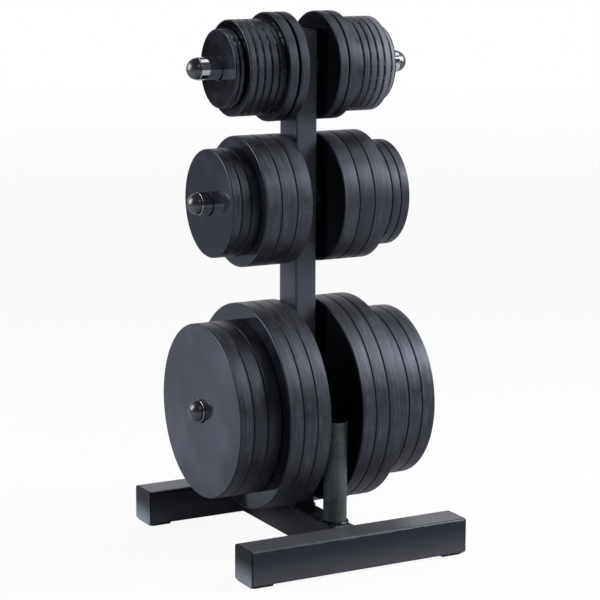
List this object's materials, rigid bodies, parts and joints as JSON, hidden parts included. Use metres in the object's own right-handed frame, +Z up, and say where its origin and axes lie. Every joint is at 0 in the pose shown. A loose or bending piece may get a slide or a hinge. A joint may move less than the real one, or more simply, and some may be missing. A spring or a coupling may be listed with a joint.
{
  "type": "plate tree",
  "caption": "Loaded weight plate tree: H-shaped steel base, one upright, chromed pegs in tiers on both sides, a bar holder tube and sliding plates.",
  "frame": {"origin": "on the floor under the middle of the upright", "axes": "+Z up; +X along the pegs to the right as seen from the front; +Y to the rear, so the bar holder stands on the -Y side"},
  "size_m": [0.5266, 0.574, 1.1602],
  "materials": {
    "frame_coat": "satin black powder coat",
    "holder_coat": "satin grey-black powder coat",
    "peg_chrome": "polished chrome",
    "dome_plastic": "glossy black",
    "cap_plastic": "satin black",
    "plate_skin": "satin black rubber skin over an iron disc"
  },
  "bodies": {
    "rack": {"front_base_tube": "frame_coat", "rear_base_tube": "frame_coat", "base_spine": "frame_coat", "front_left_foot_cap": "cap_plastic", "front_right_foot_cap": "cap_plastic", "rear_left_foot_cap": "cap_plastic", "rear_right_foot_cap": "cap_plastic", "upright": "frame_coat", "bar_holder": "holder_coat", "top_peg_tube": "peg_chrome", "top_left_peg_dome": "dome_plastic", "top_right_peg_dome": "dome_plastic", "middle_peg_tube": "peg_chrome", "middle_left_peg_dome": "dome_plastic", "middle_right_peg_dome": "dome_plastic", "bottom_peg_tube": "peg_chrome", "bottom_left_peg_dome": "dome_plastic", "bottom_right_peg_dome": "dome_plastic"},
    "top_left_10lb_plate_1": {"top_left_10lb_plate_1": "plate_skin"},
    "top_left_10lb_plate_2": {"top_left_10lb_plate_2": "plate_skin"},
    "top_left_5lb_plate_1": {"top_left_5lb_plate_1": "plate_skin"},
    "top_left_5lb_plate_2": {"top_left_5lb_plate_2": "plate_skin"},
    "top_left_5lb_plate_3": {"top_left_5lb_plate_3": "plate_skin"},
    "top_left_5lb_plate_4": {"top_left_5lb_plate_4": "plate_skin"},
    "top_left_5lb_plate_5": {"top_left_5lb_plate_5": "plate_skin"},
    "top_left_2_5lb_plate_1": {"top_left_2_5lb_plate_1": "plate_skin"},
    "top_left_2_5lb_plate_2": {"top_left_2_5lb_plate_2": "plate_skin"},
    "top_right_10lb_plate_1": {"top_right_10lb_plate_1": "plate_skin"},
    "top_right_10lb_plate_2": {"top_right_10lb_plate_2": "plate_skin"},
    "top_right_5lb_plate_1": {"top_right_5lb_plate_1": "plate_skin"},
    "top_right_5lb_plate_2": {"top_right_5lb_plate_2": "plate_skin"},
    "top_right_5lb_plate_3": {"top_right_5lb_plate_3": "plate_skin"},
    "top_right_5lb_plate_4": {"top_right_5lb_plate_4": "plate_skin"},
    "top_right_5lb_plate_5": {"top_right_5lb_plate_5": "plate_skin"},
    "top_right_2_5lb_plate_1": {"top_right_2_5lb_plate_1": "plate_skin"},
    "top_right_2_5lb_plate_2": {"top_right_2_5lb_plate_2": "plate_skin"},
    "middle_left_25lb_plate_1": {"middle_left_25lb_plate_1": "plate_skin"},
    "middle_left_25lb_plate_2": {"middle_left_25lb_plate_2": "plate_skin"},
    "middle_left_25lb_plate_3": {"middle_left_25lb_plate_3": "plate_skin"},
    "middle_left_10lb_plate_1": {"middle_left_10lb_plate_1": "plate_skin"},
    "middle_left_10lb_plate_2": {"middle_left_10lb_plate_2": "plate_skin"},
    "middle_left_10lb_plate_3": {"middle_left_10lb_plate_3": "plate_skin"},
    "middle_right_25lb_plate_1": {"middle_right_25lb_plate_1": "plate_skin"},
    "middle_right_25lb_plate_2": {"middle_right_25lb_plate_2": "plate_skin"},
    "middle_right_25lb_plate_3": {"middle_right_25lb_plate_3": "plate_skin"},
    "middle_right_10lb_plate_1": {"middle_right_10lb_plate_1": "plate_skin"},
    "middle_right_10lb_plate_2": {"middle_right_10lb_plate_2": "plate_skin"},
    "middle_right_10lb_plate_3": {"middle_right_10lb_plate_3": "plate_skin"},
    "bottom_left_45lb_plate_1": {"bottom_left_45lb_plate_1": "plate_skin"},
    "bottom_left_45lb_plate_2": {"bottom_left_45lb_plate_2": "plate_skin"},
    "bottom_left_45lb_plate_3": {"bottom_left_45lb_plate_3": "plate_skin"},
    "bottom_left_35lb_plate_1": {"bottom_left_35lb_plate_1": "plate_skin"},
    "bottom_left_35lb_plate_2": {"bottom_left_35lb_plate_2": "plate_skin"},
    "bottom_left_35lb_plate_3": {"bottom_left_35lb_plate_3": "plate_skin"},
    "bottom_right_45lb_plate_1": {"bottom_right_45lb_plate_1": "plate_skin"},
    "bottom_right_45lb_plate_2": {"bottom_right_45lb_plate_2": "plate_skin"},
    "bottom_right_45lb_plate_3": {"bottom_right_45lb_plate_3": "plate_skin"},
    "bottom_right_35lb_plate_1": {"bottom_right_35lb_plate_1": "plate_skin"},
    "bottom_right_35lb_plate_2": {"bottom_right_35lb_plate_2": "plate_skin"},
    "bottom_right_35lb_plate_3": {"bottom_right_35lb_plate_3": "plate_skin"}
  },
  "joints": [
    {"name": "top_left_10lb_plate_1_slide", "type": "slide", "parent": "rack", "child": "top_left_10lb_plate_1", "axis": [-1, 0, 0], "range_m": [0, 0.23]},
    {"name": "top_left_10lb_plate_2_slide", "type": "slide", "parent": "top_left_10lb_plate_1", "child": "top_left_10lb_plate_2", "axis": [-1, 0, 0], "range_m": [0, 0.204]},
    {"name": "top_left_5lb_plate_1_slide", "type": "slide", "parent": "top_left_10lb_plate_2", "child": "top_left_5lb_plate_1", "axis": [-1, 0, 0], "range_m": [0, 0.183]},
    {"name": "top_left_5lb_plate_2_slide", "type": "slide", "parent": "top_left_5lb_plate_1", "child": "top_left_5lb_plate_2", "axis": [-1, 0, 0], "range_m": [0, 0.166]},
    {"name": "top_left_5lb_plate_3_slide", "type": "slide", "parent": "top_left_5lb_plate_2", "child": "top_left_5lb_plate_3", "axis": [-1, 0, 0], "range_m": [0, 0.149]},
    {"name": "top_left_5lb_plate_4_slide", "type": "slide", "parent": "top_left_5lb_plate_3", "child": "top_left_5lb_plate_4", "axis": [-1, 0, 0], "range_m": [0, 0.132]},
    {"name": "top_left_5lb_plate_5_slide", "type": "slide", "parent": "top_left_5lb_plate_4", "child": "top_left_5lb_plate_5", "axis": [-1, 0, 0], "range_m": [0, 0.115]},
    {"name": "top_left_2_5lb_plate_1_slide", "type": "slide", "parent": "top_left_5lb_plate_5", "child": "top_left_2_5lb_plate_1", "axis": [-1, 0, 0], "range_m": [0, 0.095]},
    {"name": "top_left_2_5lb_plate_2_slide", "type": "slide", "parent": "top_left_2_5lb_plate_1", "child": "top_left_2_5lb_plate_2", "axis": [-1, 0, 0], "range_m": [0, 0.084]},
    {"name": "top_right_10lb_plate_1_slide", "type": "slide", "parent": "rack", "child": "top_right_10lb_plate_1", "axis": [1, 0, 0], "range_m": [0, 0.229]},
    {"name": "top_right_10lb_plate_2_slide", "type": "slide", "parent": "top_right_10lb_plate_1", "child": "top_right_10lb_plate_2", "axis": [1, 0, 0], "range_m": [0, 0.205]},
    {"name": "top_right_5lb_plate_1_slide", "type": "slide", "parent": "top_right_10lb_plate_2", "child": "top_right_5lb_plate_1", "axis": [1, 0, 0], "range_m": [0, 0.179]},
    {"name": "top_right_5lb_plate_2_slide", "type": "slide", "parent": "top_right_5lb_plate_1", "child": "top_right_5lb_plate_2", "axis": [1, 0, 0], "range_m": [0, 0.162]},
    {"name": "top_right_5lb_plate_3_slide", "type": "slide", "parent": "top_right_5lb_plate_2", "child": "top_right_5lb_plate_3", "axis": [1, 0, 0], "range_m": [0, 0.145]},
    {"name": "top_right_5lb_plate_4_slide", "type": "slide", "parent": "top_right_5lb_plate_3", "child": "top_right_5lb_plate_4", "axis": [1, 0, 0], "range_m": [0, 0.128]},
    {"name": "top_right_5lb_plate_5_slide", "type": "slide", "parent": "top_right_5lb_plate_4", "child": "top_right_5lb_plate_5", "axis": [1, 0, 0], "range_m": [0, 0.111]},
    {"name": "top_right_2_5lb_plate_1_slide", "type": "slide", "parent": "top_right_5lb_plate_5", "child": "top_right_2_5lb_plate_1", "axis": [1, 0, 0], "range_m": [0, 0.094]},
    {"name": "top_right_2_5lb_plate_2_slide", "type": "slide", "parent": "top_right_2_5lb_plate_1", "child": "top_right_2_5lb_plate_2", "axis": [1, 0, 0], "range_m": [0, 0.083]},
    {"name": "middle_left_25lb_plate_1_slide", "type": "slide", "parent": "rack", "child": "middle_left_25lb_plate_1", "axis": [-1, 0, 0], "range_m": [0, 0.225]},
    {"name": "middle_left_25lb_plate_2_slide", "type": "slide", "parent": "middle_left_25lb_plate_1", "child": "middle_left_25lb_plate_2", "axis": [-1, 0, 0], "range_m": [0, 0.189]},
    {"name": "middle_left_25lb_plate_3_slide", "type": "slide", "parent": "middle_left_25lb_plate_2", "child": "middle_left_25lb_plate_3", "axis": [-1, 0, 0], "range_m": [0, 0.152]},
    {"name": "middle_left_10lb_plate_1_slide", "type": "slide", "parent": "middle_left_25lb_plate_3", "child": "middle_left_10lb_plate_1", "axis": [-1, 0, 0], "range_m": [0, 0.115]},
    {"name": "middle_left_10lb_plate_2_slide", "type": "slide", "parent": "middle_left_10lb_plate_1", "child": "middle_left_10lb_plate_2", "axis": [-1, 0, 0], "range_m": [0, 0.094]},
    {"name": "middle_left_10lb_plate_3_slide", "type": "slide", "parent": "middle_left_10lb_plate_2", "child": "middle_left_10lb_plate_3", "axis": [-1, 0, 0], "range_m": [0, 0.072]},
    {"name": "middle_right_25lb_plate_1_slide", "type": "slide", "parent": "rack", "child": "middle_right_25lb_plate_1", "axis": [1, 0, 0], "range_m": [0, 0.228]},
    {"name": "middle_right_25lb_plate_2_slide", "type": "slide", "parent": "middle_right_25lb_plate_1", "child": "middle_right_25lb_plate_2", "axis": [1, 0, 0], "range_m": [0, 0.191]},
    {"name": "middle_right_25lb_plate_3_slide", "type": "slide", "parent": "middle_right_25lb_plate_2", "child": "middle_right_25lb_plate_3", "axis": [1, 0, 0], "range_m": [0, 0.155]},
    {"name": "middle_right_10lb_plate_1_slide", "type": "slide", "parent": "middle_right_25lb_plate_3", "child": "middle_right_10lb_plate_1", "axis": [1, 0, 0], "range_m": [0, 0.118]},
    {"name": "middle_right_10lb_plate_2_slide", "type": "slide", "parent": "middle_right_10lb_plate_1", "child": "middle_right_10lb_plate_2", "axis": [1, 0, 0], "range_m": [0, 0.096]},
    {"name": "middle_right_10lb_plate_3_slide", "type": "slide", "parent": "middle_right_10lb_plate_2", "child": "middle_right_10lb_plate_3", "axis": [1, 0, 0], "range_m": [0, 0.075]},
    {"name": "bottom_left_45lb_plate_1_slide", "type": "slide", "parent": "rack", "child": "bottom_left_45lb_plate_1", "axis": [-1, 0, 0], "range_m": [0, 0.226]},
    {"name": "bottom_left_45lb_plate_2_slide", "type": "slide", "parent": "bottom_left_45lb_plate_1", "child": "bottom_left_45lb_plate_2", "axis": [-1, 0, 0], "range_m": [0, 0.193]},
    {"name": "bottom_left_45lb_plate_3_slide", "type": "slide", "parent": "bottom_left_45lb_plate_2", "child": "bottom_left_45lb_plate_3", "axis": [-1, 0, 0], "range_m": [0, 0.16]},
    {"name": "bottom_left_35lb_plate_1_slide", "type": "slide", "parent": "bottom_left_45lb_plate_3", "child": "bottom_left_35lb_plate_1", "axis": [-1, 0, 0], "range_m": [0, 0.128]},
    {"name": "bottom_left_35lb_plate_2_slide", "type": "slide", "parent": "bottom_left_35lb_plate_1", "child": "bottom_left_35lb_plate_2", "axis": [-1, 0, 0], "range_m": [0, 0.095]},
    {"name": "bottom_left_35lb_plate_3_slide", "type": "slide", "parent": "bottom_left_35lb_plate_2", "child": "bottom_left_35lb_plate_3", "axis": [-1, 0, 0], "range_m": [0, 0.062]},
    {"name": "bottom_right_45lb_plate_1_slide", "type": "slide", "parent": "rack", "child": "bottom_right_45lb_plate_1", "axis": [1, 0, 0], "range_m": [0, 0.228]},
    {"name": "bottom_right_45lb_plate_2_slide", "type": "slide", "parent": "bottom_right_45lb_plate_1", "child": "bottom_right_45lb_plate_2", "axis": [1, 0, 0], "range_m": [0, 0.195]},
    {"name": "bottom_right_45lb_plate_3_slide", "type": "slide", "parent": "bottom_right_45lb_plate_2", "child": "bottom_right_45lb_plate_3", "axis": [1, 0, 0], "range_m": [0, 0.163]},
    {"name": "bottom_right_35lb_plate_1_slide", "type": "slide", "parent": "bottom_right_45lb_plate_3", "child": "bottom_right_35lb_plate_1", "axis": [1, 0, 0], "range_m": [0, 0.125]},
    {"name": "bottom_right_35lb_plate_2_slide", "type": "slide", "parent": "bottom_right_35lb_plate_1", "child": "bottom_right_35lb_plate_2", "axis": [1, 0, 0], "range_m": [0, 0.092]},
    {"name": "bottom_right_35lb_plate_3_slide", "type": "slide", "parent": "bottom_right_35lb_plate_2", "child": "bottom_right_35lb_plate_3", "axis": [1, 0, 0], "range_m": [0, 0.059]}
  ]
}
